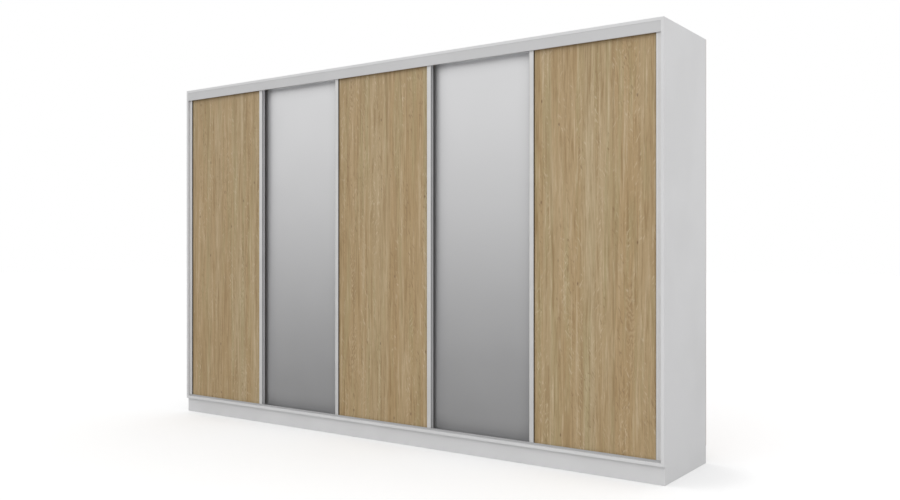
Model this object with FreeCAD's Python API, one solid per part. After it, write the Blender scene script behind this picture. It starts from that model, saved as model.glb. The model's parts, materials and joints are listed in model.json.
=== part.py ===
import FreeCAD, Part
import os

# Sliding door wardrobe, in millimetres.
# Origin: floor level, at the centre of the footprint. +X runs to the right along the
# front, -Y is the front, +Y is the wall side, +Z is up.

V = FreeCAD.Vector

# --- driving dimensions -----------------------------------------------------------
WIDTH = 3600.0
DEPTH = 600.0
HEIGHT = 2300.0
BOARD = 16.0            # laminated chipboard of the carcass
BACK_SHEET = 3.0        # hardboard nailed to the rear edges
SHEET_JOINT = 0.6       # gap between neighbouring back sheets
PLINTH_HEIGHT = 94.0
PLINTH_RECESS = 16.0
FASCIA_HEIGHT = 56.0
FASCIA_THICKNESS = 8.0
FASCIA_RECESS = 1.0

# doors
DOOR_COUNT = 5
DOOR_WIDTH = 748.0
END_GAP = 2.0           # between an end door and the side panel, filled by its brush
STILE_BOTTOM = 118.0
STILE_TOP = 2272.0
PANEL_BOTTOM = 113.0
PANEL_TOP = 2266.0
PANEL = 10.0            # oak board, or mirror glass on its backing board
MIRROR_GLASS = 4.0

# vertical aluminium handle profile
STILE_WIDTH = 27.0
STILE_DEPTH = 26.0
STILE_WALL = 1.5
STILE_STEP = 0.8        # the outer half of the front face lies this much lower
STILE_EDGE_RADIUS = 0.8
STILE_LIP = 8.0         # hollow front lip that covers the edge of the door panel
PANEL_CLEARANCE = 0.1   # on each face of the panel in its slot
PANEL_SLOT = PANEL + 2 * PANEL_CLEARANCE
PANEL_SLOT_DEPTH = 10.0
PANEL_IN_SLOT = 9.5
BRUSH_SLOT = (2.3, 7.7)
BRUSH_SLOT_DEPTH = 2.0
BRUSH_PROUD = 1.5

# double tracks
TRACK_PITCH = 34.0
TRACK_WALL = 1.5
TRACK_END_GAP = 0.5
UPPER_WEB = 2.0
UPPER_HEIGHT = 40.0
LOWER_LIP_HEIGHT = 12.5
RIB_HEIGHT = 7.0
RIB_WIDTH = 2.5
DOOR_BEHIND_FLANGE = 1.5

# grooved door wheels and their carriages
WHEEL_TREAD_RADIUS = 13.0
WHEEL_FLANGE_RADIUS = 17.0
WHEEL_WIDTH = 7.2
WHEEL_RISE = 0.3        # running clearance over the rib
WHEEL_WEB_WIDTH = 4.0
WHEEL_HUB_RADIUS = 6.5
WHEEL_RIM_RADIUS = 10.5
GROOVE_INNER = 3.2
GROOVE_OUTER = 4.8
AXLE_RADIUS = 3.0
AXLE_CLEARANCE = 0.05
CARRIAGE_BOTTOM = 122.0
CARRIAGE_DEPTH = 12.0
CARRIAGE_WALL = 2.0
CARRIAGE_HALF_LENGTH = 20.0
CARRIAGE_PLATE_HEIGHT = 68.0
CARRIAGE_INSET = 60.0   # from the stile to the wheel centre
ADJUSTER_RADIUS = 4.0
ADJUSTER_LENGTH = 30.0

# top guides
GUIDE_LENGTH = 50.0
GUIDE_HEIGHT = 13.0
GUIDE_NECK = 5.0
GUIDE_CLEARANCE = 0.4
GUIDE_INSET = 40.0

# interior
PARTITION_FRONT = 100.0  # from the carcass front to the front edge of a partition
SHELF_SETBACK = 10.0     # from a partition's front edge to a shelf's
SHELF_SIDE_GAP = 0.5
HAT_SHELF_TOP = 1960.0
LOW_SHELF_TOP = 430.0
BAY_SHELF_COUNT = 4
HANGING_BAYS = (0, 2, 4)
SHELF_BAYS = (1, 3)
RAIL_WIDTH = 15.0
RAIL_HEIGHT = 30.0
RAIL_WALL = 1.2
RAIL_DROP = 60.0         # from the underside of the hat shelf to the rail centre
SOCKET_WALL = 2.0
SOCKET_LENGTH = 14.0
SOCKET_CLEARANCE = 0.1

# hardware
PIN_RADIUS = 2.5
PIN_DEPTH = 7.0
PIN_REACH = 9.0
PIN_INSET = 60.0         # from the front or rear edge of a shelf
CAM_RADIUS = 7.5
CAM_DEPTH = 12.5
CAM_DISTANCE = 34.0      # from the end of the board to the cam centre
CAM_INSET = 60.0         # from the front or rear edge of a partition
BOLT_RADIUS = 3.5
BOLT_REACH = 11.0        # into the face of the joined board
SCREW_RADIUS = 2.0
SCREW_HEAD_RADIUS = 3.6
SCREW_LENGTH = 14.0
SCREW_COUNT = 7
SCREW_END = 90.0         # from the end of a track to its first screw

# --- places that follow from them -------------------------------------------------
HALF = WIDTH / 2
FRONT = -DEPTH / 2
REAR = DEPTH / 2 - BACK_SHEET
INNER = HALF - BOARD
FLOOR_TOP = PLINTH_HEIGHT + BOARD
TOP_UNDER = HEIGHT - BOARD
OVERLAP = (DOOR_COUNT * DOOR_WIDTH - 2 * (INNER - END_GAP)) / (DOOR_COUNT - 1)
DOOR_STEP = DOOR_WIDTH - OVERLAP
TRACK_FRONT = FRONT + FASCIA_RECESS + FASCIA_THICKNESS
TRACK_REAR = TRACK_FRONT + 2 * TRACK_PITCH + TRACK_WALL
DOOR_FRONT = TRACK_FRONT + TRACK_WALL + DOOR_BEHIND_FLANGE
PANEL_FACE = STILE_LIP + PANEL_CLEARANCE   # these three are measured back from a door's front
PANEL_REAR = PANEL_FACE + PANEL
WHEEL_PLANE = PANEL_REAR + CARRIAGE_DEPTH / 2
RIB_TOP = FLOOR_TOP + RIB_HEIGHT
WHEEL_CENTRE_Z = RIB_TOP + WHEEL_RISE + WHEEL_TREAD_RADIUS
INTERIOR_FRONT = FRONT + PARTITION_FRONT
SHELF_FRONT = INTERIOR_FRONT + SHELF_SETBACK
PARTITION_CENTRES = [-INNER + END_GAP + n * DOOR_STEP + OVERLAP / 2
                     for n in range(1, DOOR_COUNT)]
BAY_EDGES = [-INNER - BOARD / 2] + PARTITION_CENTRES + [INNER + BOARD / 2]
HAT_SHELF_UNDER = HAT_SHELF_TOP - BOARD


def box(xs, ys, zs):
    """Rectangular block between the low and high values on each axis."""
    size = (xs[1] - xs[0], ys[1] - ys[0], zs[1] - zs[0])
    return Part.makeBox(*size, V(xs[0], ys[0], zs[0]))


def cylinder(radius, length, base, axis):
    return Part.makeCylinder(radius, length, base, axis)


def prism(points, travel):
    """Closed outline of vectors, pushed along a vector."""
    outline = Part.makePolygon(points + [points[0]])
    return Part.Face(outline).extrude(travel)


def group(solids):
    return Part.makeCompound(solids)


def bay_range(bay):
    """Clear width between the two upright boards of a bay."""
    return BAY_EDGES[bay] + BOARD / 2, BAY_EDGES[bay + 1] - BOARD / 2


# --- carcass ----------------------------------------------------------------------
def upright_boards():
    """Side panels and partitions, keyed by name, as (low x, front y) pairs."""
    boards = {"left_side_panel": (-HALF, FRONT), "right_side_panel": (INNER, FRONT)}
    for number, centre in enumerate(PARTITION_CENTRES, 1):
        boards["partition_%d" % number] = (centre - BOARD / 2, INTERIOR_FRONT)
    return boards


def upright_board(low_x, front):
    return box((low_x, low_x + BOARD), (front, REAR), (FLOOR_TOP, TOP_UNDER))


def long_panel(bottom):
    return box((-HALF, HALF), (FRONT, REAR), (bottom, bottom + BOARD))


def fascia():
    front = FRONT + FASCIA_RECESS
    ys = (front, front + FASCIA_THICKNESS)
    return box((-INNER, INNER), ys, (TOP_UNDER - FASCIA_HEIGHT, TOP_UNDER))


def plinth_long_board(front):
    return box((-HALF, HALF), (front, front + BOARD), (0, PLINTH_HEIGHT))


def plinth_cross_boards():
    """Two end boards flush with the carcass sides and a brace under each partition."""
    front = FRONT + PLINTH_RECESS + BOARD
    lows = [-HALF] + [centre - BOARD / 2 for centre in PARTITION_CENTRES] + [HALF - BOARD]
    return group([box((low, low + BOARD), (front, REAR - BOARD), (0, PLINTH_HEIGHT)) for low in lows])


def back_sheets():
    """One sheet per bay, meeting on the rear edges of the partitions."""
    edges = [-HALF] + PARTITION_CENTRES + [HALF]
    gap = SHEET_JOINT / 2
    sheets = []
    for bay in range(DOOR_COUNT):
        left = edges[bay] + (gap if bay else 0)
        right = edges[bay + 1] - (gap if bay < DOOR_COUNT - 1 else 0)
        sheets.append(box((left, right), (REAR, REAR + BACK_SHEET), (PLINTH_HEIGHT, HEIGHT)))
    return group(sheets)


# --- tracks -----------------------------------------------------------------------
def track_length():
    return 2 * (INNER - TRACK_END_GAP)


def upper_track():
    """Double channel, open downwards, screwed under the top panel."""
    web_under = TOP_UNDER - UPPER_WEB
    foot = TOP_UNDER - UPPER_HEIGHT
    start = -INNER + TRACK_END_GAP
    outline = [(TRACK_FRONT, TOP_UNDER), (TRACK_FRONT, foot)]
    for channel in range(2):
        wall = TRACK_FRONT + channel * TRACK_PITCH + TRACK_WALL
        far = wall + TRACK_PITCH - TRACK_WALL
        outline += [(wall, foot), (wall, web_under), (far, web_under), (far, foot)]
    outline += [(TRACK_REAR, foot), (TRACK_REAR, TOP_UNDER)]
    return prism([V(start, y, z) for y, z in outline], V(track_length(), 0, 0))


def rib_centre(track):
    return DOOR_FRONT + WHEEL_PLANE + track * TRACK_PITCH


def lower_track():
    """Flat double rail with a front lip and one running rib for each row of doors."""
    start = -INNER + TRACK_END_GAP
    base = FLOOR_TOP + TRACK_WALL
    lip = FLOOR_TOP + LOWER_LIP_HEIGHT
    outline = [(TRACK_FRONT, FLOOR_TOP), (TRACK_FRONT, lip), (TRACK_FRONT + TRACK_WALL, lip)]
    outline.append((TRACK_FRONT + TRACK_WALL, base))
    for track in range(2):
        near = rib_centre(track) - RIB_WIDTH / 2
        far = near + RIB_WIDTH
        outline += [(near, base), (near, RIB_TOP), (far, RIB_TOP), (far, base)]
    outline += [(TRACK_REAR, base), (TRACK_REAR, FLOOR_TOP)]
    return prism([V(start, y, z) for y, z in outline], V(track_length(), 0, 0))


def track_screw(x, y, surface, upward):
    """Countersunk screw whose flat head is flush with the track's surface."""
    sense = 1 if upward else -1
    axis = V(0, 0, sense)
    head_height = TRACK_WALL
    head = Part.makeCone(SCREW_HEAD_RADIUS, SCREW_RADIUS, head_height, V(x, y, surface), axis)
    shank = cylinder(SCREW_RADIUS, SCREW_LENGTH, V(x, y, surface + sense * head_height), axis)
    return head.fuse(shank).removeSplitter()


def track_screws():
    span = track_length() - 2 * SCREW_END
    screws = []
    for number in range(SCREW_COUNT):
        x = -span / 2 + number * span / (SCREW_COUNT - 1)
        middle = (rib_centre(0) + rib_centre(1)) / 2
        screws.append(track_screw(x, middle, FLOOR_TOP + TRACK_WALL, False))
        for track in range(2):
            y = TRACK_FRONT + TRACK_WALL / 2 + (track + 0.5) * TRACK_PITCH
            screws.append(track_screw(x, y, TOP_UNDER - UPPER_WEB, True))
    return screws


# --- doors ------------------------------------------------------------------------
def stile_outline():
    """Section as (across, back) points; across 0 is the panel side, back 0 the front."""
    rear_lip = STILE_LIP + PANEL_SLOT
    half = STILE_WIDTH / 2
    slot_floor = STILE_WIDTH - BRUSH_SLOT_DEPTH
    return [(0, 0), (half, 0), (half + STILE_STEP, STILE_STEP), (STILE_WIDTH, STILE_STEP),
            (STILE_WIDTH, BRUSH_SLOT[0]), (slot_floor, BRUSH_SLOT[0]),
            (slot_floor, BRUSH_SLOT[1]), (STILE_WIDTH, BRUSH_SLOT[1]),
            (STILE_WIDTH, STILE_DEPTH), (PANEL_SLOT_DEPTH, STILE_DEPTH),
            (PANEL_SLOT_DEPTH, rear_lip + STILE_WALL), (0, rear_lip + STILE_WALL),
            (0, rear_lip), (PANEL_SLOT_DEPTH, rear_lip),
            (PANEL_SLOT_DEPTH, STILE_LIP), (0, STILE_LIP)]


def rectangle(across, back):
    """Corners of a rectangle between two low and high pairs."""
    return [(across[0], back[0]), (across[1], back[0]), (across[1], back[1]), (across[0], back[1])]


def stile_chambers():
    """Hollows of the extrusion, in the lip and in the body, in the same terms as the outline."""
    lip = rectangle((STILE_WALL, PANEL_SLOT_DEPTH - STILE_WALL), (STILE_WALL, STILE_LIP - STILE_WALL))
    near = PANEL_SLOT_DEPTH + STILE_WALL
    far = STILE_WIDTH - BRUSH_SLOT_DEPTH - STILE_WALL
    front = STILE_STEP + STILE_WALL
    return [lip, rectangle((near, far), (front, STILE_DEPTH - STILE_WALL))]


def stile(outer_x, side, front):
    """Handle profile; side is -1 on the door's left edge and 1 on its right."""
    def place(points):
        return [V(outer_x + side * (across - STILE_WIDTH), front + back, STILE_BOTTOM)
                for across, back in points]

    rise = V(0, 0, STILE_TOP - STILE_BOTTOM)
    profile = prism(place(stile_outline()), rise)
    profile = profile.cut([prism(place(chamber), rise) for chamber in stile_chambers()])
    corners = place([(0, 0), (STILE_WIDTH, STILE_STEP)])
    edges = [edge for edge in profile.Edges if is_upright_at(edge, corners)]
    return profile.makeFillet(STILE_EDGE_RADIUS, edges)


def is_upright_at(edge, corners):
    """True for a vertical edge that passes over one of the given corners."""
    ends = [vertex.Point for vertex in edge.Vertexes]
    tolerance = 0.01
    flat = [V(end.x, end.y, corners[0].z) for end in ends]
    upright = (flat[0] - flat[-1]).Length < tolerance
    return upright and any((flat[0] - corner).Length < tolerance for corner in corners)


def brush_seals(left, right, front):
    """Pile strip along the outer slot of both stiles."""
    ys = (front + BRUSH_SLOT[0], front + BRUSH_SLOT[1])
    zs = (STILE_BOTTOM, STILE_TOP)
    return group([box((left - BRUSH_PROUD, left + BRUSH_SLOT_DEPTH), ys, zs),
                  box((right - BRUSH_SLOT_DEPTH, right + BRUSH_PROUD), ys, zs)])


def door_board(left, right, front, thickness):
    """Flat infill that stands in the slots of both stiles."""
    inset = STILE_WIDTH - PANEL_IN_SLOT
    xs = (left + inset, right - inset)
    return box(xs, (front, front + thickness), (PANEL_BOTTOM, PANEL_TOP))


def roller_carriage(x, panel_rear):
    """Housing screwed to the back of the panel, with its axle and height adjuster."""
    bottom = CARRIAGE_BOTTOM
    housing_top = WHEEL_CENTRE_Z + WHEEL_FLANGE_RADIUS + 2 * CARRIAGE_WALL
    ys = (panel_rear, panel_rear + CARRIAGE_DEPTH)
    xs = (x - CARRIAGE_HALF_LENGTH, x + CARRIAGE_HALF_LENGTH)
    housing = box(xs, ys, (bottom, housing_top))
    inner = CARRIAGE_HALF_LENGTH - CARRIAGE_WALL
    cavity = box((x - inner, x + inner), (ys[0] + CARRIAGE_WALL, ys[1] - CARRIAGE_WALL),
                 (bottom, housing_top - CARRIAGE_WALL))
    plate = box(xs, (ys[0], ys[0] + CARRIAGE_WALL), (bottom, bottom + CARRIAGE_PLATE_HEIGHT))
    axle = cylinder(AXLE_RADIUS, CARRIAGE_DEPTH, V(x, ys[0], WHEEL_CENTRE_Z), V(0, 1, 0))
    adjuster = cylinder(ADJUSTER_RADIUS, ADJUSTER_LENGTH,
                        V(x, ys[0] + CARRIAGE_DEPTH / 2, housing_top), V(0, 0, 1))
    return housing.cut(cavity).fuse([plate, axle, adjuster]).removeSplitter()


def wheel(x, centre_y):
    """Nylon wheel turned about Y, with a groove that straddles the rib."""
    half = WHEEL_WIDTH / 2
    web = WHEEL_WEB_WIDTH / 2
    bore = AXLE_RADIUS + AXLE_CLEARANCE
    rising = [(-half, bore), (-half, WHEEL_HUB_RADIUS), (-web, WHEEL_HUB_RADIUS),
              (-web, WHEEL_RIM_RADIUS), (-half, WHEEL_RIM_RADIUS),
              (-half, WHEEL_FLANGE_RADIUS), (-GROOVE_OUTER / 2, WHEEL_FLANGE_RADIUS),
              (-GROOVE_INNER / 2, WHEEL_TREAD_RADIUS)]
    falling = [(-across, radius) for across, radius in reversed(rising)]
    section = [V(x, centre_y + across, WHEEL_CENTRE_Z + radius) for across, radius in rising + falling]
    face = Part.Face(Part.makePolygon(section + [section[0]]))
    return face.revolve(V(x, centre_y, WHEEL_CENTRE_Z), V(0, 1, 0), 360)


def top_guide(x, front):
    """Plastic slider on the panel's top edge, as wide as the channel it runs in."""
    panel = (front + PANEL_FACE, front + PANEL_REAR)
    channel_front = front - DOOR_BEHIND_FLANGE + GUIDE_CLEARANCE
    channel_rear = front - DOOR_BEHIND_FLANGE + TRACK_PITCH - TRACK_WALL - GUIDE_CLEARANCE
    neck_top = PANEL_TOP + GUIDE_NECK
    neck = box((x - GUIDE_LENGTH / 2, x + GUIDE_LENGTH / 2), panel, (PANEL_TOP, neck_top))
    radius = (channel_rear - channel_front) / 2
    centre_y = (channel_front + channel_rear) / 2
    reach = GUIDE_LENGTH / 2 - radius
    height = PANEL_TOP + GUIDE_HEIGHT - neck_top
    slider = box((x - reach, x + reach), (channel_front, channel_rear), (neck_top, neck_top + height))
    for end in (-reach, reach):
        slider = slider.fuse(cylinder(radius, height, V(x + end, centre_y, neck_top), V(0, 0, 1)))
    return slider.fuse(neck).removeSplitter()


def door(number):
    """Every piece of one door at rest, keyed by node name."""
    name = "door_%d" % number
    track = (number - 1) % 2
    front = DOOR_FRONT + track * TRACK_PITCH
    left = -INNER + END_GAP + (number - 1) * DOOR_STEP
    right = left + DOOR_WIDTH
    panel_front = front + PANEL_FACE
    ends = (left + STILE_WIDTH + CARRIAGE_INSET, right - STILE_WIDTH - CARRIAGE_INSET)
    guides = (left + STILE_WIDTH + GUIDE_INSET, right - STILE_WIDTH - GUIDE_INSET)
    pieces = {
        name + "_left_stile": stile(left, -1, front),
        name + "_right_stile": stile(right, 1, front),
        name + "_brush_seals": brush_seals(left, right, front),
        name + "_roller_carriages": group([roller_carriage(x, front + PANEL_REAR) for x in ends]),
        name + "_left_wheel": wheel(ends[0], front + WHEEL_PLANE),
        name + "_right_wheel": wheel(ends[1], front + WHEEL_PLANE),
        name + "_top_guides": group([top_guide(x, front) for x in guides]),
    }
    if track == 0:
        pieces[name + "_oak_panel"] = door_board(left, right, panel_front, PANEL)
    else:
        backing_front = panel_front + MIRROR_GLASS
        pieces[name + "_mirror"] = door_board(left, right, panel_front, MIRROR_GLASS)
        pieces[name + "_backing_board"] = door_board(left, right, backing_front, PANEL - MIRROR_GLASS)
    return pieces


# --- interior ---------------------------------------------------------------------
def shelf_tops(bay):
    """Heights of the upper faces of a bay's shelves."""
    if bay in HANGING_BAYS:
        return [HAT_SHELF_TOP, LOW_SHELF_TOP]
    step = (HAT_SHELF_TOP - FLOOR_TOP) / (BAY_SHELF_COUNT + 1)
    return [FLOOR_TOP + step * level for level in range(1, BAY_SHELF_COUNT + 2)]


def shelves():
    boards = []
    for bay in range(DOOR_COUNT):
        low, high = bay_range(bay)
        xs = (low + SHELF_SIDE_GAP, high - SHELF_SIDE_GAP)
        boards += [box(xs, (SHELF_FRONT, REAR), (top - BOARD, top)) for top in shelf_tops(bay)]
    return group(boards)


def shelf_pins():
    """Four steel pins under each shelf, half in the upright board."""
    pins = []
    length = PIN_DEPTH + PIN_REACH
    for bay in range(DOOR_COUNT):
        low, high = bay_range(bay)
        for top in shelf_tops(bay):
            z = top - BOARD - PIN_RADIUS
            for y in (SHELF_FRONT + PIN_INSET, REAR - PIN_INSET):
                pins.append(cylinder(PIN_RADIUS, length, V(low - PIN_DEPTH, y, z), V(1, 0, 0)))
                pins.append(cylinder(PIN_RADIUS, length, V(high + PIN_DEPTH, y, z), V(-1, 0, 0)))
    return pins


def oval_bar(width, height, low, high, centre_y, centre_z):
    """Bar along X with flat sides and half-round top and bottom."""
    radius = width / 2
    flat = height / 2 - radius
    bar = box((low, high), (centre_y - radius, centre_y + radius), (centre_z - flat, centre_z + flat))
    for z in (centre_z - flat, centre_z + flat):
        bar = bar.fuse(cylinder(radius, high - low, V(low, centre_y, z), V(1, 0, 0)))
    return bar.removeSplitter()


def rail_place():
    """Height and depth of the hanging rails' centre line."""
    return HAT_SHELF_UNDER - RAIL_DROP, (SHELF_FRONT + REAR) / 2


def hanging_rails():
    z, y = rail_place()
    rails = []
    for bay in HANGING_BAYS:
        low, high = bay_range(bay)
        ends = (low + SOCKET_WALL + SOCKET_CLEARANCE, high - SOCKET_WALL - SOCKET_CLEARANCE)
        outside = oval_bar(RAIL_WIDTH, RAIL_HEIGHT, *ends, y, z)
        inside = oval_bar(RAIL_WIDTH - 2 * RAIL_WALL, RAIL_HEIGHT - 2 * RAIL_WALL, *ends, y, z)
        rails.append(outside.cut(inside))
    return group(rails)


def rail_socket(face_x, inward, y, z):
    """Oval cup on an upright board, closed at the board and open to the rail."""
    mouth = face_x + inward * SOCKET_LENGTH
    floor = face_x + inward * SOCKET_WALL
    grow = 2 * (SOCKET_WALL + SOCKET_CLEARANCE)
    cup = oval_bar(RAIL_WIDTH + grow, RAIL_HEIGHT + grow, *sorted((face_x, mouth)), y, z)
    slack = 2 * SOCKET_CLEARANCE
    return cup.cut(oval_bar(RAIL_WIDTH + slack, RAIL_HEIGHT + slack, *sorted((floor, mouth)), y, z))


def rail_sockets():
    z, y = rail_place()
    cups = []
    for bay in HANGING_BAYS:
        low, high = bay_range(bay)
        cups += [rail_socket(low, 1, y, z), rail_socket(high, -1, y, z)]
    return group(cups)


def cam_connectors():
    """Cam disc and bolt at both ends of each upright board, near its front and rear."""
    pieces = []
    for low_x, _ in upright_boards().values():
        middle = low_x + BOARD / 2
        inward = -1 if middle > 0 else 1
        face = middle + inward * BOARD / 2
        for y in (INTERIOR_FRONT + CAM_INSET, REAR - CAM_INSET):
            for end, sense in ((FLOOR_TOP, 1), (TOP_UNDER, -1)):
                centre = end + sense * CAM_DISTANCE
                cam = cylinder(CAM_RADIUS, CAM_DEPTH, V(face, y, centre), V(-inward, 0, 0))
                length = CAM_DISTANCE + BOLT_REACH
                bolt = cylinder(BOLT_RADIUS, length, V(middle, y, centre), V(0, 0, -sense))
                pieces += [cam, bolt.cut(cam)]
    return pieces


# --- the whole wardrobe -----------------------------------------------------------
def carcass():
    """Boards, tracks and interior, with the seats of their hardware cut out."""
    cams = cam_connectors()
    pins = shelf_pins()
    screws = track_screws()
    uprights = {name: upright_board(*place) for name, place in upright_boards().items()}
    for name in uprights:
        uprights[name] = uprights[name].cut(cams + pins)
    partitions = [board for name, board in uprights.items() if name.startswith("partition")]
    return {
        "left_side_panel": uprights["left_side_panel"],
        "right_side_panel": uprights["right_side_panel"],
        "partitions": group(partitions),
        "top_panel": long_panel(TOP_UNDER).cut(cams + screws),
        "bottom_panel": long_panel(PLINTH_HEIGHT).cut(cams + screws),
        "top_fascia": fascia(),
        "plinth_front_board": plinth_long_board(FRONT + PLINTH_RECESS),
        "plinth_rear_board": plinth_long_board(REAR - BOARD),
        "plinth_cross_boards": plinth_cross_boards(),
        "back_sheets": back_sheets(),
        "upper_track": upper_track().cut(screws),
        "lower_track": lower_track().cut(screws),
        "shelves": shelves(),
        "shelf_pins": group(pins),
        "hanging_rails": hanging_rails(),
        "rail_sockets": rail_sockets(),
        "cam_connectors": group(cams),
        "track_screws": group(screws),
    }


def main():
    pieces = carcass()
    for number in range(1, DOOR_COUNT + 1):
        pieces.update(door(number))
    os.makedirs("parts", exist_ok=True)
    for name, shape in pieces.items():
        shape.exportStep("parts/%s.step" % name)


main()
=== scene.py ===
import json
import math

import bpy
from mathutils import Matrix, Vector


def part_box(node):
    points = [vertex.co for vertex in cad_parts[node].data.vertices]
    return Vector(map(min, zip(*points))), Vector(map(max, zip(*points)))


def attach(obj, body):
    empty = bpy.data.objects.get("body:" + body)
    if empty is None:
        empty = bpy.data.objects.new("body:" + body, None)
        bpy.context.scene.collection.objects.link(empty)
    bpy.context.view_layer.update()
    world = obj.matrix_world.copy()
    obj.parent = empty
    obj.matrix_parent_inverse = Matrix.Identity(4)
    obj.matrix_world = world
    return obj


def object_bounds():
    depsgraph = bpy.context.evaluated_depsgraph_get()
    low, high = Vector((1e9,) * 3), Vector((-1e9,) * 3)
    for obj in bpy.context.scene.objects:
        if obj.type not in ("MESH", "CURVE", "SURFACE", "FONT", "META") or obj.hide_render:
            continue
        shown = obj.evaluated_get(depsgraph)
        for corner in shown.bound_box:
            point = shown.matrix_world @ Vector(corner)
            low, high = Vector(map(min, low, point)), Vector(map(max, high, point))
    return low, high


# Looks of the sliding door wardrobe, in metres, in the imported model's own frame:
# +X runs to the right along the front, -Y is the front, +Z is up from the floor.

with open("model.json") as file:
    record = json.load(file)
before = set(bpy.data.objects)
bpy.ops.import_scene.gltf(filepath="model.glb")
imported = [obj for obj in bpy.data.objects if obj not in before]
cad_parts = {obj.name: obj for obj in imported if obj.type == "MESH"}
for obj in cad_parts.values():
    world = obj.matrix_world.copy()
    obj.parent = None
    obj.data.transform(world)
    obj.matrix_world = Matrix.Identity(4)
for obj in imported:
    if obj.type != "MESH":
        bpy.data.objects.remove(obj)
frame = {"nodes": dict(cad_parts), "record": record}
cad_low, cad_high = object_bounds()
slot_of = {entry["node"]: entry["material_slot"] for entry in frame["record"]["subparts"]}

X_AXIS, Z_AXIS = 0, 2
FRONT, RIGHT, LEFT = (0, -1, 0), (1, 0, 0), (-1, 0, 0)

EDGE_ROUNDING = 0.0008
WELD_DISTANCE = 0.00002
SHARP_ANGLE = math.radians(50)
ROUNDED_SLOTS = ("white_laminate", "oak_laminate", "carriage_steel", "guide_plastic", "track_aluminium")

# The seal lies in the corner between a stile's front lip and the panel, and starts this far
# behind the stile's face. Its dark brown is painted shade for that corner.
SEAL_WIDTH = 0.0022
SEAL_SETBACK = 0.0025

# The oak's pattern: how many of each figure there are in a metre, and the heights over which
# painted shade darkens the panels under the fascia.
BANDS_ACROSS = 8.5
ARCHES_ALONG = 21.0
FLICKS_ACROSS, FLICKS_ALONG = 105.0, 26.0
KNOTS_ACROSS, KNOTS_ALONG = 9.0, 4.2
OAK_TOP_SHADE = (2.19, 2.262)

CAMERA_X = 3.4775
CAMERA_FROM_FRONT = 4.1896
CAMERA_HEIGHT = 1.1569
CAMERA_YAW = math.radians(35.218)
CAMERA_LENS = 35.93

# The visible floor lies just over the one that lights the wardrobe, and both just under its plinth.
FLOOR_HALF = 40.0
SEEN_FLOOR_HEIGHT, BOUNCE_FLOOR_HEIGHT = -0.0005, -0.001
SEEN_FLOOR_GREY, BOUNCE_FLOOR_GREY = 0.66, 0.42
FLOOR_EMISSION, SHADED_FLOOR_EMISSION = 0.40, 0.28
# Its painted shadow falls as from a soft light at the left of the room, which has no lamp, over this
# distance.
FLOOR_SHADOW_FROM = (-0.75, -0.1, 0.66)
FLOOR_SHADE_REACH = 0.5

# Brightness of the surround from straight below (0) over the horizon (0.5) to straight above (1).
SKY_STOPS = ((0.0, 0.62), (0.14, 0.55), (0.30, 0.0), (0.46, 0.0), (0.5, 0.63), (0.56, 0.96), (1.0, 1.0))


# --- node helpers -----------------------------------------------------------------
def add(tree, kind, settings=None, **inputs):
    """A shader node with its settings and inputs.

    An input is a value or a socket, and goes by its label or, after an underscore, its number."""
    made = tree.nodes.new("ShaderNode" + kind)
    for name, value in (settings or {}).items():
        setattr(made, name, value)
    for name, value in inputs.items():
        key = int(name[1:]) if name[0] == "_" else name.replace("_", " ")
        if isinstance(value, bpy.types.NodeSocket):
            tree.links.new(value, made.inputs[key])
        else:
            made.inputs[key].default_value = value
    return made


def calc(tree, operation, first, second=0.0):
    return add(tree, "Math", {"operation": operation}, _0=first, _1=second).outputs[0]


def plus(tree, first, second):
    return calc(tree, "ADD", first, second)


def times(tree, first, second):
    return calc(tree, "MULTIPLY", first, second)


def split(tree, vector):
    """Sockets X, Y and Z of a vector."""
    return add(tree, "SeparateXYZ", None, Vector=vector).outputs


def even(per_metre):
    """The same number of features per metre on all three axes."""
    return (per_metre,) * 3


def noise(tree, coords, per_metre, detail=3.0, roughness=0.5, distortion=0.0, shift=(0, 0, 0)):
    """Noise with its own number of features per metre along X, Y and Z, from 0 to 1."""
    scaled = add(tree, "VectorMath", {"operation": "MULTIPLY"}, _0=coords, _1=per_metre).outputs[0]
    place = add(tree, "VectorMath", {"operation": "ADD"}, _0=scaled, _1=shift).outputs[0]
    made = add(tree, "TexNoise", None, Vector=place, Scale=1.0, Detail=detail,
               Roughness=roughness, Distortion=distortion)
    return made.outputs[0]


def cells(tree, place, settings=None):
    """Voronoi cells: distance from each cell's heart, and its random red, green and blue."""
    made = add(tree, "TexVoronoi", {"feature": "F1", **(settings or {})}, Vector=place,
               Scale=1.0, Randomness=1.0)
    return made.outputs["Distance"], add(tree, "SeparateColor", None, Color=made.outputs["Color"]).outputs


def between(tree, value, low, high, out_low=0.0, out_high=1.0):
    """Value mapped smoothly from low..high to out_low..out_high."""
    made = add(tree, "MapRange", {"interpolation_type": "SMOOTHSTEP"}, Value=value)
    for key, number in zip(("From Min", "From Max", "To Min", "To Max"), (low, high, out_low, out_high)):
        made.inputs[key].default_value = number
    return made.outputs[0]


def blend(tree, share, first, second):
    """Second colour over the first, by share."""
    return add(tree, "Mix", {"data_type": "RGBA"}, _0=share, _6=first, _7=second).outputs[2]


def tint(tree, tone, value, limits, shares, colour):
    """Tone with a colour over it, whose share follows a value between its limits."""
    return blend(tree, between(tree, value, *limits, *shares), tone, colour)


def rgb(red, green, blue):
    """Linear colour with alpha from sRGB values of 0 to 255."""
    def linear(value):
        share = value / 255
        return share / 12.92 if share <= 0.04045 else ((share + 0.055) / 1.055) ** 2.4

    return linear(red), linear(green), linear(blue), 1.0


def grey(level):
    return level, level, level, 1.0


def darker(colour, share):
    return tuple(share * value for value in colour[:3]) + (1.0,)


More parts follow.
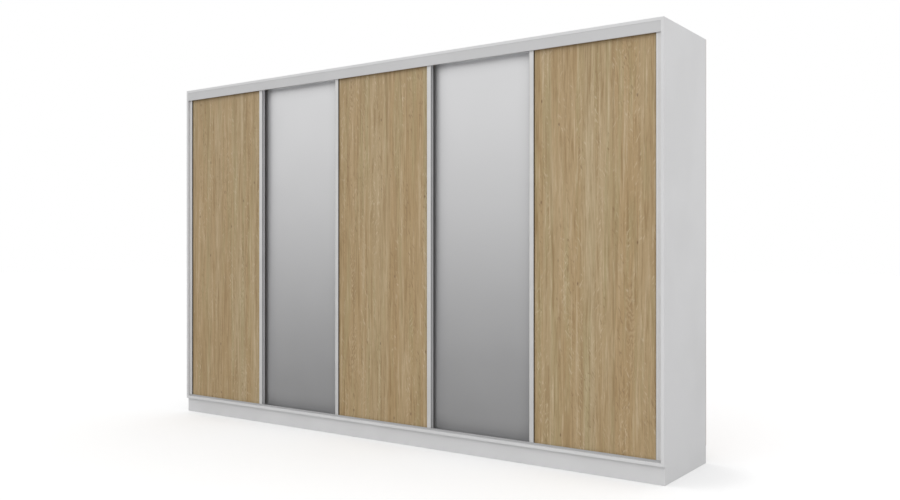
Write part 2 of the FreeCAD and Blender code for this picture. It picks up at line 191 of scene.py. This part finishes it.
def new_material(name, colour, roughness, metallic=0.0):
    """Principled material; returns it with its tree, shader and object coordinates."""
    made = bpy.data.materials.new(name)
    made.use_nodes = True
    tree = made.node_tree
    shader = tree.nodes["Principled BSDF"]
    shader.inputs["Base Color"].default_value = colour
    shader.inputs["Roughness"].default_value = roughness
    shader.inputs["Metallic"].default_value = metallic
    coords = tree.nodes.new("ShaderNodeTexCoord").outputs["Object"]
    return made, tree, shader, coords


def join(tree, source, node, label):
    tree.links.new(source, node.inputs[label])


def bump(tree, shader, height, distance, strength=1.0):
    made = add(tree, "Bump", None, Strength=strength, Distance=distance, Height=height)
    join(tree, made.outputs[0], shader, "Normal")


def share_facing(tree, direction, low, high):
    """1 where the surface faces along a direction, 0 where it faces away."""
    normal = tree.nodes.new("ShaderNodeTexCoord").outputs["Normal"]
    facing = add(tree, "VectorMath", {"operation": "DOT_PRODUCT"}, _0=normal, _1=direction)
    return between(tree, facing.outputs["Value"], low, high)


def openness(tree, distance, samples, **inputs):
    """1 where nothing stands within a distance, less where something does."""
    return add(tree, "AmbientOcclusion", {"samples": samples}, Distance=distance, **inputs).outputs["AO"]


# --- materials --------------------------------------------------------------------
def white_laminate(name, face, edge):
    """Matt melamine with a faint pearl texture; edge is the colour of what faces the front."""
    made, tree, shader, coords = new_material(name, face, 0.5)
    cloud = noise(tree, coords, even(3), detail=2)
    grain = noise(tree, coords, even(900), detail=2)
    tone = blend(tree, share_facing(tree, FRONT, 0.5, 0.9), face, edge)
    tone = tint(tree, tone, cloud, (0.3, 0.7), (0.0, 0.05), rgb(120, 118, 112))
    join(tree, tone, shader, "Base Color")
    join(tree, between(tree, grain, 0.2, 0.8, 0.44, 0.58), shader, "Roughness")
    bump(tree, shader, grain, 0.00012, strength=0.5)
    return made


def oak_bands(tree, coords):
    """Irregular upright bands, as cells gives them."""
    drift = noise(tree, coords, (1.5, 1.5, 0.9), detail=2)
    across = plus(tree, times(tree, split(tree, coords)["X"], BANDS_ACROSS), times(tree, drift, 0.5))
    return cells(tree, add(tree, "CombineXYZ", None, X=across).outputs[0])


def oak_figure(tree, coords, apart, chance):
    """Nested arches round the heart of each band that run out into straight lines, -1 to 1.

    Half of the bands, by chance, have their arches upside down."""
    upward = plus(tree, times(tree, between(tree, chance, 0.45, 0.55), 2.0), -1.0)
    climb = times(tree, times(tree, split(tree, coords)["Z"], ARCHES_ALONG), upward)
    spread = times(tree, calc(tree, "POWER", apart, 1.4), 22.0)
    wander = times(tree, noise(tree, coords, (16, 16, 2.6), detail=2), 7.0)
    ragged = times(tree, noise(tree, coords, (60, 60, 22), detail=3, roughness=0.65), 2.6)
    phase = plus(tree, plus(tree, climb, spread), plus(tree, wander, ragged))
    line = calc(tree, "SINE", times(tree, phase, 2 * math.pi))
    patch = between(tree, noise(tree, coords, (12, 12, 3.4), detail=2, shift=(3, 1, 8)), 0.44, 0.60)
    heart = between(tree, apart, 0.05, 0.5, 1.0, 0.25)
    return times(tree, times(tree, line, patch), heart)


def oak_flicks(tree, coords, lean, shift):
    """Short slanting flicks of ray and grain, gathered in loose upright rows, 0 to 1."""
    parts = split(tree, coords)
    across = plus(tree, times(tree, parts["X"], FLICKS_ACROSS), times(tree, parts["Z"], lean))
    place = add(tree, "CombineXYZ", None, X=across, Z=times(tree, parts["Z"], FLICKS_ALONG))
    marks = noise(tree, place.outputs[0], even(1), detail=2, distortion=0.3, shift=shift)
    rows = noise(tree, coords, (17, 17, 1.6), detail=2, shift=shift)
    return times(tree, between(tree, marks, 0.56, 0.70), between(tree, rows, 0.53, 0.62))


def oak_knots(tree, coords):
    """Sparse small knots drawn out along the grain, 1 at their heart."""
    parts = split(tree, coords)
    place = add(tree, "CombineXYZ", None, X=times(tree, parts["X"], KNOTS_ACROSS),
                Y=times(tree, parts["Z"], KNOTS_ALONG))
    apart, chance = cells(tree, place.outputs[0], {"voronoi_dimensions": "2D"})
    chosen = between(tree, chance[0], 0.84, 0.86)
    return times(tree, chosen, between(tree, apart, 0.01, 0.06, 1.0, 0.0))


def oak():
    """Oak decor with upright grain: bands, streaks, arches, pores, flicks and knots."""
    made, tree, shader, coords = new_material("oak_decor", rgb(204, 180, 141), 0.55)
    apart, chance = oak_bands(tree, coords)
    broad = noise(tree, coords, (14, 14, 0.5), roughness=0.6)
    olive = noise(tree, coords, (24, 24, 1.1), roughness=0.6, distortion=0.2, shift=(9, 0, 4))
    streaks = noise(tree, coords, (62, 62, 1.6), detail=4, roughness=0.62, distortion=0.3, shift=(0, 0, 5))
    dashes = noise(tree, coords, (88, 88, 4.2), roughness=0.6, distortion=0.6, shift=(4, 0, 2))
    threads = noise(tree, coords, (150, 150, 9), roughness=0.6, distortion=0.4, shift=(2, 0, 0))
    fibres = noise(tree, coords, (420, 420, 9), roughness=0.7)
    pores = noise(tree, coords, (1200, 1200, 34), detail=2, roughness=0.6)
    figure = oak_figure(tree, coords, apart, chance[1])
    flicks = (
        (oak_flicks(tree, coords, 48.0, (7, 0, 3)), 0.34, rgb(240, 226, 196)),
        (oak_flicks(tree, coords, -48.0, (1, 0, 9)), 0.34, rgb(238, 222, 190)),
        (oak_flicks(tree, coords, 40.0, (15, 0, 6)), 0.5, rgb(138, 106, 68)),
    )
    layers = (
        (broad, (0.3, 0.7), (0.5, 0.0), rgb(184, 152, 104)),
        (olive, (0.48, 0.64), (0.0, 0.5), rgb(188, 174, 130)),
        (streaks, (0.28, 0.52), (0.65, 0.0), rgb(166, 137, 96)),
        (streaks, (0.54, 0.74), (0.0, 0.6), rgb(228, 210, 176)),
        (dashes, (0.28, 0.48), (0.62, 0.0), rgb(155, 124, 76)),
        (dashes, (0.56, 0.72), (0.0, 0.45), rgb(232, 214, 180)),
        (threads, (0.30, 0.50), (0.4, 0.0), rgb(158, 128, 88)),
        (figure, (0.15, 0.95), (0.0, 0.36), rgb(146, 115, 76)),
        (figure, (-0.15, -0.95), (0.0, 0.22), rgb(230, 212, 178)),
        (fibres, (0.3, 0.7), (0.26, 0.0), rgb(160, 130, 90)),
    )
    tone = blend(tree, chance[0], rgb(201, 173, 131), rgb(205, 185, 148))
    for value, limits, shares, colour in layers:
        tone = tint(tree, tone, value, limits, shares, colour)
    for marks, share, colour in flicks:
        tone = blend(tree, times(tree, marks, share), tone, colour)
    tone = tint(tree, tone, pores, (0.60, 0.74), (0.0, 0.5), rgb(132, 102, 66))
    tone = blend(tree, times(tree, oak_knots(tree, coords), 0.65), tone, rgb(112, 82, 50))
    # Painted shade: the panels darken towards their top edge, under the fascia.
    tone = tint(tree, tone, split(tree, coords)["Z"], OAK_TOP_SHADE, (0.0, 0.65), rgb(150, 124, 88))
    join(tree, tone, shader, "Base Color")
    join(tree, between(tree, fibres, 0.2, 0.8, 0.62, 0.46), shader, "Roughness")
    bump(tree, shader, plus(tree, fibres, pores), 0.0002, strength=0.6)
    return made


def satin_mirror():
    """Acid-etched silvered glass: a rough, slightly milky mirror, darkened by painted shade where other parts
    stand close, as along its edges.
    """
    clear, painted_edge_shade = rgb(236, 236, 237), rgb(196, 196, 197)
    made, tree, shader, coords = new_material("satin_mirror", clear, 0.36, metallic=0.8)
    haze = noise(tree, coords, even(5))
    etch = noise(tree, coords, even(2500), detail=1)
    # Painted shade: the mirror's colour darkens where other parts stand within 10 cm.
    free = between(tree, openness(tree, 0.10, samples=8), 0.45, 1.0)
    join(tree, blend(tree, free, painted_edge_shade, clear), shader, "Base Color")
    join(tree, between(tree, haze, 0.2, 0.8, 0.35, 0.38), shader, "Roughness")
    bump(tree, shader, etch, 0.00002, strength=0.3)
    return made


def aluminium(name, front, flank, roughness, along, inner=None, inner_side=None):
    """Anodised extrusion with fine draw lines along one axis.

    Front and flank are the colours of what faces the front and of the rest; inner is that of
    the inner side, which looks at the panel."""
    made, tree, shader, coords = new_material(name, front, roughness, metallic=0.2)
    per_metre = [3000, 3000, 3000]
    per_metre[along] = 12
    lines = noise(tree, coords, tuple(per_metre), detail=2, roughness=0.6)
    cloud = noise(tree, coords, even(8), detail=2)
    # Faces that do not look to the front take the flank colour; on the stiles it is painted shade.
    tone = blend(tree, share_facing(tree, FRONT, 0.3, 0.9), flank, front)
    # Painted shade: the inner side's dark colour stands for the shade in the corner by the panel.
    if inner_side:
        tone = blend(tree, share_facing(tree, inner_side, 0.5, 0.9), tone, inner)
    tone = tint(tree, tone, cloud, (0.3, 0.7), (0.0, 0.08), rgb(150, 150, 152))
    join(tree, tone, shader, "Base Color")
    join(tree, between(tree, lines, 0.25, 0.75, roughness - 0.06, roughness + 0.08), shader, "Roughness")
    bump(tree, shader, lines, 0.00003, strength=0.4)
    return made


def stile(name, inner_side):
    """Handle profile; its darker grey flanks and its dark brown inner side, which looks at the panel, are
    painted shade.
    """
    return aluminium(name, rgb(238, 237, 236), rgb(206, 206, 207), 0.42, Z_AXIS, rgb(92, 84, 74), inner_side)


def hardboard():
    """Lacquered white towards the inside, raw brown fibre towards the wall."""
    made, tree, shader, coords = new_material("hardboard", rgb(150, 112, 74), 0.8)
    inside = share_facing(tree, FRONT, 0.5, 0.9)
    fibre = noise(tree, coords, even(420), detail=4, roughness=0.7)
    cloud = noise(tree, coords, even(6), roughness=0.6)
    raw = blend(tree, between(tree, fibre, 0.35, 0.65), rgb(138, 103, 68), rgb(168, 131, 92))
    raw = tint(tree, raw, cloud, (0.3, 0.7), (0.0, 0.25), rgb(120, 88, 58))
    join(tree, blend(tree, inside, raw, rgb(222, 221, 217)), shader, "Base Color")
    join(tree, between(tree, inside, 0.0, 1.0, 0.85, 0.5), shader, "Roughness")
    bump(tree, shader, fibre, 0.0003, strength=0.5)
    return made


def plastic(name, colour, roughness):
    """Moulded plastic with a fine spark-eroded texture and slight mottling."""
    made, tree, shader, coords = new_material(name, colour, roughness)
    grain = noise(tree, coords, even(1800), detail=2)
    cloud = noise(tree, coords, even(60), detail=2)
    join(tree, blend(tree, between(tree, cloud, 0.3, 0.7), colour, darker(colour, 0.8)), shader, "Base Color")
    join(tree, between(tree, grain, 0.2, 0.8, roughness - 0.08, roughness + 0.08), shader, "Roughness")
    bump(tree, shader, grain, 0.00005, strength=0.6)
    return made


def metal(name, colour, roughness, spots=0.0):
    """Plated metal; spots gives the spangle of a zinc coat."""
    made, tree, shader, coords = new_material(name, colour, roughness, metallic=1.0)
    spangle = noise(tree, coords, even(260), roughness=0.6)
    tone = tint(tree, colour, spangle, (0.35, 0.65), (0.0, spots), darker(colour, 0.7))
    join(tree, tone, shader, "Base Color")
    join(tree, between(tree, spangle, 0.3, 0.7, roughness * 0.8, roughness * 1.25), shader, "Roughness")
    return made


def brush_pile():
    """Dense grey bristles standing out of their slot."""
    made, tree, shader, coords = new_material("brush_pile", rgb(150, 150, 151), 0.9)
    bristle = noise(tree, coords, (400, 1400, 1400), detail=2, roughness=0.6)
    tone = blend(tree, between(tree, bristle, 0.35, 0.65), rgb(128, 128, 130), rgb(172, 172, 174))
    join(tree, tone, shader, "Base Color")
    bump(tree, shader, bristle, 0.0006)
    return made


def materials():
    """One material for each slot of the record."""
    return {
        "white_laminate": white_laminate("white_laminate", face=rgb(229, 229, 230), edge=rgb(240, 240, 241)),
        "oak_laminate": oak(),
        "satin_mirror": satin_mirror(),
        "backing_laminate": plastic("backing_laminate", rgb(176, 176, 176), roughness=0.6),
        "hardboard": hardboard(),
        "stile_aluminium": stile("stile_left", RIGHT),
        "track_aluminium": aluminium("lower_track", rgb(200, 200, 201), rgb(140, 140, 142), 0.38, X_AXIS),
        "brush_pile": brush_pile(),
        "carriage_steel": metal("carriage_zinc", rgb(196, 198, 200), roughness=0.38, spots=0.5),
        "wheel_nylon": plastic("wheel_nylon", rgb(226, 224, 214), roughness=0.45),
        "guide_plastic": plastic("guide_plastic", rgb(70, 70, 73), roughness=0.5),
        "chrome": metal("bright_chrome", rgb(232, 232, 234), roughness=0.08),
        "zinc_steel": metal("zinc_steel", rgb(200, 200, 196), roughness=0.35, spots=0.5),
    }


def special_looks():
    """Materials of the nodes that differ from the rest of their slot."""
    fascia, track = rgb(222, 222, 223), rgb(244, 244, 245)
    looks = {
        "top_fascia": white_laminate("white_laminate_fascia", face=fascia, edge=fascia),
        "upper_track": aluminium("upper_track", track, track, 0.38, X_AXIS),
    }
    right = stile("stile_right", LEFT)
    looks.update({name: right for name in frame["nodes"] if name.endswith("_right_stile")})
    return looks


# --- pieces -----------------------------------------------------------------------
def round_edges(node):
    """Softens the sharp edges of a CAD node; its own mesh stays as it is."""
    weld = node.modifiers.new("weld", "WELD")
    weld.merge_threshold = WELD_DISTANCE
    bevel = node.modifiers.new("bevel", "BEVEL")
    bevel.width = EDGE_ROUNDING
    bevel.segments = 2
    bevel.limit_method = "ANGLE"
    bevel.angle_limit = SHARP_ANGLE
    bevel.harden_normals = True


def dress_nodes():
    """Gives every CAD node its material, and the boards and fittings their softened edges."""
    made = materials()
    special = special_looks()
    for name, node in frame["nodes"].items():
        node.data.materials.clear()
        node.data.materials.append(special.get(name, made[slot_of[name]]))
        if slot_of[name] in ROUNDED_SLOTS:
            round_edges(node)


def new_object(name, corners, faces, look):
    """Mesh object from corners and faces, with one material."""
    mesh = bpy.data.meshes.new(name)
    mesh.from_pydata(corners, [], faces)
    mesh.materials.append(look)
    made = bpy.data.objects.new(name, mesh)
    bpy.context.scene.collection.objects.link(made)
    return made


def strip(name, low, high, look):
    """Straight strip of rectangular section between its lowest and its highest corner."""
    corners = [(x, y, z) for z in (low[2], high[2]) for y in (low[1], high[1]) for x in (low[0], high[0])]
    faces = [(0, 2, 3, 1), (4, 5, 7, 6), (0, 1, 5, 4), (2, 6, 7, 3), (0, 4, 6, 2), (1, 3, 7, 5)]
    return new_object(name, corners, faces, look)


def panel_seals():
    """Seal between the panel and the front lip of each stile, dark brown as painted shade for that corner; it
    rides on its door.
    """
    # Painted shade: the seal's dark brown stands in for the shade in the corner by the lip.
    look = plastic("panel_seal", rgb(80, 70, 58), roughness=0.7)
    panels = [name for name in frame["nodes"] if name.endswith(("_oak_panel", "_mirror"))]
    for panel in panels:
        door = panel[:len("door_1")]
        low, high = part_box(panel)
        for side, inward in (("left", 1), ("right", -1)):
            stile_low, stile_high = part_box("%s_%s_stile" % (door, side))
            lip = stile_high.x if inward > 0 else stile_low.x
            x_low, x_high = sorted((lip, lip + inward * SEAL_WIDTH))
            front = stile_low.y + SEAL_SETBACK
            seal = strip("%s_%s_seal" % (door, side),
                         (x_low, front, stile_low.z), (x_high, low.y, high.z), look)
            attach(seal, door)


# --- stage ------------------------------------------------------------------------
def floor_plane(name, height, level, emission):
    """Square of floor round the wardrobe, with its tree and shader.

    Emission lifts it towards the white of the backdrop."""
    look, tree, shader, _ = new_material(name, grey(level), 1.0)
    shader.inputs["Specular IOR Level"].default_value = 0.0
    shader.inputs["Emission Color"].default_value = grey(1.0)
    shader.inputs["Emission Strength"].default_value = emission
    quarters = ((-1, -1), (1, -1), (1, 1), (-1, 1))
    corners = [(x * FLOOR_HALF, y * FLOOR_HALF, height) for x, y in quarters]
    plane = new_object(name, corners, [(0, 1, 2, 3)], look)
    plane.visible_glossy = False
    return plane, tree, shader


def shade_floor(tree, shader):
    """Painted shadow: less emission where the wardrobe stands between the floor and the left of the room."""
    leaning = add(tree, "CombineXYZ", None, **dict(zip("XYZ", FLOOR_SHADOW_FROM))).outputs[0]
    free = openness(tree, FLOOR_SHADE_REACH, samples=16, Normal=leaning)
    emission = between(tree, free, 0.30, 0.72, SHADED_FLOOR_EMISSION, FLOOR_EMISSION)
    join(tree, emission, shader, "Emission Strength")


def floors():
    """A pale floor that the camera sees, and the darker one that lights the wardrobe."""
    seen, tree, shader = floor_plane("floor", SEEN_FLOOR_HEIGHT, SEEN_FLOOR_GREY, FLOOR_EMISSION)
    seen.visible_diffuse = False
    seen.visible_shadow = False
    shade_floor(tree, shader)
    bounce, _, _ = floor_plane("floor_bounce", BOUNCE_FLOOR_HEIGHT, BOUNCE_FLOOR_GREY, emission=0.0)
    bounce.visible_camera = False


def sky():
    """Soft studio surround that lights by height, and is plain white to the camera."""
    world = bpy.data.worlds.new("studio")
    world.use_nodes = True
    bpy.context.scene.world = world
    tree = world.node_tree
    direction = tree.nodes.new("ShaderNodeTexCoord").outputs["Generated"]
    from_below = times(tree, plus(tree, split(tree, direction)["Z"], 1.0), 0.5)
    ramp = add(tree, "ValToRGB", None, Fac=from_below)
    elements = ramp.color_ramp.elements
    while len(elements) < len(SKY_STOPS):
        elements.new(0.5)
    for element, (place, level) in zip(elements, SKY_STOPS):
        element.position = place
        element.color = grey(level)
    surround = tree.nodes["Background"]
    surround.inputs["Strength"].default_value = 1.0
    join(tree, ramp.outputs[0], surround, "Color")
    backdrop = add(tree, "Background", None, Color=grey(1.0), Strength=1.0)
    seen = tree.nodes.new("ShaderNodeLightPath").outputs["Is Camera Ray"]
    mixed = add(tree, "MixShader", None, _0=seen, _1=surround.outputs[0], _2=backdrop.outputs[0])
    join(tree, mixed.outputs[0], tree.nodes["World Output"], "Surface")


def soft_light(name, location, target, size, power):
    """Rectangular lamp of so many watts that shows neither to the camera nor in the mirrors."""
    lamp = bpy.data.lights.new(name, "AREA")
    lamp.shape = "RECTANGLE"
    lamp.size, lamp.size_y = size
    lamp.energy = power
    made = bpy.data.objects.new(name, lamp)
    made.visible_glossy = False
    made.visible_camera = False
    made.location = location
    aim = Vector(target) - Vector(location)
    made.rotation_euler = aim.to_track_quat("-Z", "Y").to_euler()
    bpy.context.scene.collection.objects.link(made)


def lights():
    """Two large soft lamps, and a thin one in the upper track for the band over the mirrors."""
    soft_light("side_light", location=(5.5, 0.3, 1.5), target=(1.8, 0.0, 1.2), size=(3.0, 3.0), power=17)
    soft_light("front_light", location=(1.3, -3.6, 1.9), target=(0.1, 0.0, 1.2), size=(2.0, 2.0), power=10)
    soft_light("track_light", location=(0.0, -0.263, 2.262), target=(0.0, -1.0, 2.2), size=(3.5, 0.01),
               power=0.4)


def camera():
    """Level view from the right of the front, at half the height."""
    data = bpy.data.cameras.new("camera")
    data.lens = CAMERA_LENS
    made = bpy.data.objects.new("camera", data)
    made.location = (CAMERA_X, cad_low.y - CAMERA_FROM_FRONT, CAMERA_HEIGHT)
    made.rotation_euler = (math.pi / 2, 0, CAMERA_YAW)
    bpy.context.scene.collection.objects.link(made)
    bpy.context.scene.camera = made


def studio():
    bpy.context.scene.view_settings.view_transform = "Standard"
    floors()
    sky()
    lights()
    camera()


dress_nodes()
panel_seals()
studio()
